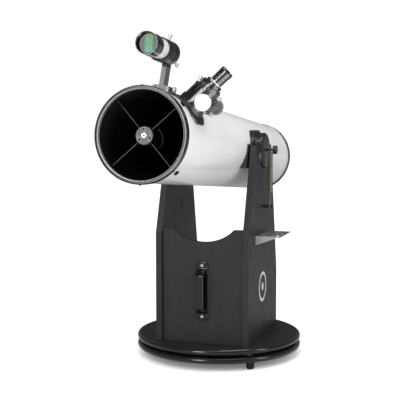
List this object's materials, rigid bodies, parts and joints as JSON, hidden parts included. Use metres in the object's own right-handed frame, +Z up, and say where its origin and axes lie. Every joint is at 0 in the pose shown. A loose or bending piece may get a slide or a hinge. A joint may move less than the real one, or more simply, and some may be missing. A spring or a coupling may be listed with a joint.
{
  "type": "newtonian reflector telescope",
  "caption": "Newtonian reflector telescope in a rocker-box mount with side focuser, finder, eyepiece rack and carry handle.",
  "frame": {"origin": "on the azimuth axis, in the underside of the ground board", "axes": "+Z up along the azimuth axis, the tube looks towards -Y, +X is the side of the focuser and the eyepiece rack"},
  "size_m": [0.508, 1.2154, 0.9301],
  "materials": {
    "laminate_board": "charcoal laminate, satin",
    "glide_plastic": "smooth low-friction plastic",
    "foot_rubber": "matt",
    "zinc_steel": "zinc plated",
    "bright_screw": "polished",
    "spring_steel": "satin grey",
    "black_screw": "blackened steel",
    "grey_casting": "dark grey casting",
    "handle_plastic": "semi-gloss black",
    "rack_paint": "light grey powder coat",
    "tube_paint": "glossy silver white",
    "ring_metal": "dark satin casting",
    "black_paint": "black paint",
    "black_anodised": "black anodised, glossy",
    "bearing_plastic": "satin black moulding",
    "mirror_coat": "polished",
    "cell_aluminium": "cast, satin",
    "knob_aluminium": "machined, satin",
    "draw_aluminium": "machined",
    "finder_paint": "glossy white",
    "lens_glass": "green coated"
  },
  "bodies": {
    "ground": {"ground_board": "laminate_board", "feet": "foot_rubber", "glide_pads": "glide_plastic", "azimuth_bolt": "zinc_steel"},
    "rocker": {"rocker_board": "laminate_board", "side_panel_right": "laminate_board", "side_panel_left": "laminate_board", "front_board": "laminate_board", "carry_handle": "handle_plastic", "rocker_screws": "bright_screw", "panel_screws": "black_screw", "eyepiece_rack": "rack_paint", "cradle_pads": "glide_plastic", "spring_pegs": "handle_plastic", "tension_springs": "spring_steel"},
    "tube": {"optical_tube": "tube_paint", "front_ring": "ring_metal", "rear_ring": "ring_metal", "ring_screws": "bright_screw", "spider_vanes": "black_paint", "vane_nuts": "black_paint", "spider_hub": "grey_casting", "secondary_bolt": "bright_screw", "secondary_holder": "black_paint", "secondary_mirror": "mirror_coat", "mirror_cell": "cell_aluminium", "primary_mirror": "mirror_coat", "mirror_clips": "black_paint", "collimation_springs": "zinc_steel", "altitude_bearings": "bearing_plastic", "focuser_base": "grey_casting", "focuser_body": "black_anodised", "finder_shoe": "black_anodised"},
    "altitude_knob_right": {"altitude_knob_right": "bearing_plastic"},
    "altitude_knob_left": {"altitude_knob_left": "bearing_plastic"},
    "secondary_screw_1": {"secondary_screw_1": "bright_screw"},
    "secondary_screw_2": {"secondary_screw_2": "bright_screw"},
    "secondary_screw_3": {"secondary_screw_3": "bright_screw"},
    "collimation_knob_1": {"collimation_knob_1": "bearing_plastic"},
    "collimation_knob_2": {"collimation_knob_2": "bearing_plastic"},
    "collimation_knob_3": {"collimation_knob_3": "bearing_plastic"},
    "focus_shaft": {"focus_axle": "bright_screw", "focus_knobs": "knob_aluminium"},
    "drawtube": {"drawtube": "draw_aluminium", "drawtube_collar": "black_anodised"},
    "focus_lock_screw": {"focus_lock_screw": "bright_screw"},
    "collar_screw_1": {"collar_screw_1": "bright_screw"},
    "collar_screw_2": {"collar_screw_2": "bright_screw"},
    "adapter": {"eyepiece_adapter": "black_anodised"},
    "eyepiece": {"eyepiece_barrel": "bright_screw", "eyepiece_body": "black_anodised"},
    "finder": {"finder_bracket": "grey_casting", "finder_tube": "finder_paint", "finder_cell": "black_anodised", "finder_lens": "lens_glass", "finder_eyepiece": "black_anodised"},
    "finder_screw_1": {"finder_screw_1": "bright_screw"},
    "finder_screw_2": {"finder_screw_2": "bright_screw"},
    "finder_plunger": {"finder_plunger": "bright_screw"},
    "shoe_screw": {"shoe_screw": "bright_screw"}
  },
  "joints": [
    {"name": "azimuth", "type": "hinge", "parent": "ground", "child": "rocker", "pos_m": [0, 0, 0], "axis": [0, 0, 1], "continuous": true},
    {"name": "altitude", "type": "hinge", "parent": "rocker", "child": "tube", "pos_m": [0, 0, 0.61], "axis": [-1, 0, 0], "range_deg": [-9.4, 85.6]},
    {"name": "altitude_knob_right_turn", "type": "hinge", "parent": "tube", "child": "altitude_knob_right", "pos_m": [0.171, 0, 0.61], "axis": [1, 0, 0], "range_deg": [0, 720]},
    {"name": "altitude_knob_left_turn", "type": "hinge", "parent": "tube", "child": "altitude_knob_left", "pos_m": [-0.171, 0, 0.61], "axis": [-1, 0, 0], "range_deg": [0, 720]},
    {"name": "secondary_screw_1_turn", "type": "hinge", "parent": "tube", "child": "secondary_screw_1", "pos_m": [-0.00223, -0.61695, 0.67347], "axis": [0, -0.997, 0.0769], "range_deg": [-360, 360]},
    {"name": "secondary_screw_2_turn", "type": "hinge", "parent": "tube", "child": "secondary_screw_2", "pos_m": [0.01483, -0.61862, 0.6517], "axis": [0, -0.997, 0.0769], "range_deg": [-360, 360]},
    {"name": "secondary_screw_3_turn", "type": "hinge", "parent": "tube", "child": "secondary_screw_3", "pos_m": [-0.01261, -0.61892, 0.64785], "axis": [0, -0.997, 0.0769], "range_deg": [-360, 360]},
    {"name": "collimation_knob_1_turn", "type": "hinge", "parent": "tube", "child": "collimation_knob_1", "pos_m": [0.075, 0.49852, 0.57155], "axis": [0, 0.997, -0.0769], "range_deg": [-720, 720]},
    {"name": "collimation_knob_2_turn", "type": "hinge", "parent": "tube", "child": "collimation_knob_2", "pos_m": [-0.0375, 0.49352, 0.50679], "axis": [0, 0.997, -0.0769], "range_deg": [-720, 720]},
    {"name": "collimation_knob_3_turn", "type": "hinge", "parent": "tube", "child": "collimation_knob_3", "pos_m": [-0.0375, 0.50351, 0.63631], "axis": [0, 0.997, -0.0769], "range_deg": [-720, 720]},
    {"name": "focus", "type": "slide", "parent": "tube", "child": "drawtube", "axis": [0.7431, 0.0515, 0.6671], "range_m": [-0.001, 0.045]},
    {"name": "focus_turn", "type": "hinge", "parent": "tube", "child": "focus_shaft", "pos_m": [0.13546, -0.54312, 0.73333], "axis": [0, 0.997, -0.0769], "range_deg": [-25, 865]},
    {"name": "focus_lock_screw_turn", "type": "hinge", "parent": "tube", "child": "focus_lock_screw", "pos_m": [0.13303, -0.5443, 0.71813], "axis": [0.6691, -0.0571, -0.7409], "range_deg": [0, 720]},
    {"name": "collar_screw_1_turn", "type": "hinge", "parent": "drawtube", "child": "collar_screw_1", "pos_m": [0.15533, -0.54172, 0.75156], "axis": [0.6691, -0.0571, -0.7409], "range_deg": [0, 720]},
    {"name": "collar_screw_2_turn", "type": "hinge", "parent": "drawtube", "child": "collar_screw_2", "pos_m": [0.11518, -0.53829, 0.79602], "axis": [-0.6691, 0.0571, 0.7409], "range_deg": [0, 720]},
    {"name": "adapter_slide", "type": "slide", "parent": "drawtube", "child": "adapter", "axis": [0.7431, 0.0515, 0.6671], "range_m": [0, 0.03]},
    {"name": "eyepiece_slide", "type": "slide", "parent": "adapter", "child": "eyepiece", "axis": [0.7431, 0.0515, 0.6671], "range_m": [0, 0.03]},
    {"name": "finder_slide", "type": "slide", "parent": "tube", "child": "finder", "axis": [0, -0.997, 0.0769], "range_m": [0, 0.06]},
    {"name": "finder_screw_1_turn", "type": "hinge", "parent": "finder", "child": "finder_screw_1", "pos_m": [0.03501, -0.54763, 0.89595], "axis": [0.1426, 0.0761, 0.9868], "range_deg": [0, 720]},
    {"name": "finder_screw_2_turn", "type": "hinge", "parent": "finder", "child": "finder_screw_2", "pos_m": [0.05101, -0.55229, 0.83561], "axis": [0.6129, -0.0608, -0.7878], "range_deg": [0, 720]},
    {"name": "finder_plunger_slide", "type": "slide", "parent": "finder", "child": "finder_plunger", "axis": [-0.9854, -0.0131, -0.1697], "range_m": [0, 0.002], "stiffness_N_per_m": 1500},
    {"name": "shoe_screw_turn", "type": "hinge", "parent": "tube", "child": "shoe_screw", "pos_m": [0.03946, -0.54516, 0.77199], "axis": [0.9898, -0.011, -0.1422], "range_deg": [0, 720]}
  ],
  "couplings": [
    {"joint": "focus_turn", "follows": "focus", "rad_per_m": 333.33}
  ]
}
